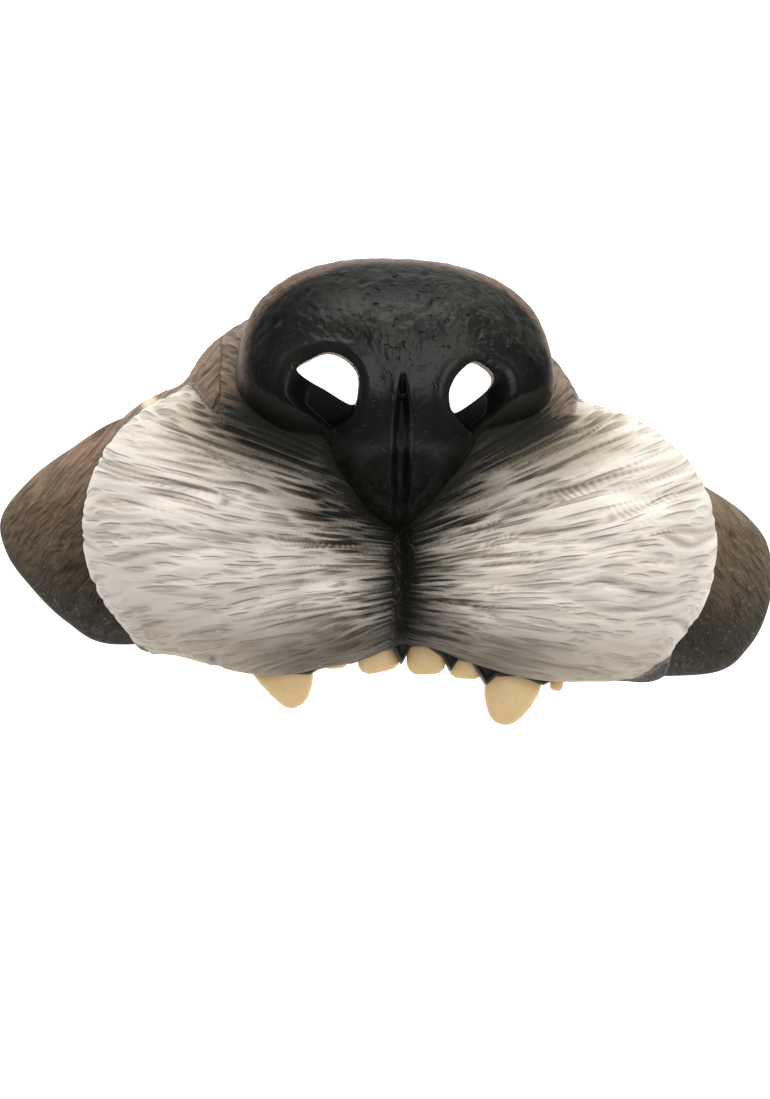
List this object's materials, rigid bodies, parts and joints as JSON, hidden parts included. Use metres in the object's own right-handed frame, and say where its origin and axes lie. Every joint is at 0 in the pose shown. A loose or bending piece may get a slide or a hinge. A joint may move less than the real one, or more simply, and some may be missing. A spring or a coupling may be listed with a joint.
{
  "type": "costume wolf nose",
  "caption": "Costume wolf muzzle: hollow latex skin with furrowed whisker pads and cheek flaps, black nose with open nostrils, gum strip, fangs and front teeth.",
  "frame": {"origin": "under the middle of the object's box, in the plane of the two flat rear edges it lies on", "axes": "+Z the way the nose points, +Y towards the bridge of the nose, +X to the viewer's right when looking at the nose"},
  "size_m": [0.1944, 0.109, 0.0859],
  "materials": {
    "latex": "matte",
    "black_latex": "satin",
    "tooth": "satin"
  },
  "bodies": {
    "root": {"muzzle_skin": "latex", "nose_pad": "black_latex", "gum_strip": "black_latex", "fang_left": "tooth", "fang_right": "tooth", "incisor_left_side": "tooth", "incisor_left_mid": "tooth", "incisor_right_mid": "tooth", "incisor_right_side": "tooth", "cheek_tooth_right": "tooth"}
  },
  "joints": []
}
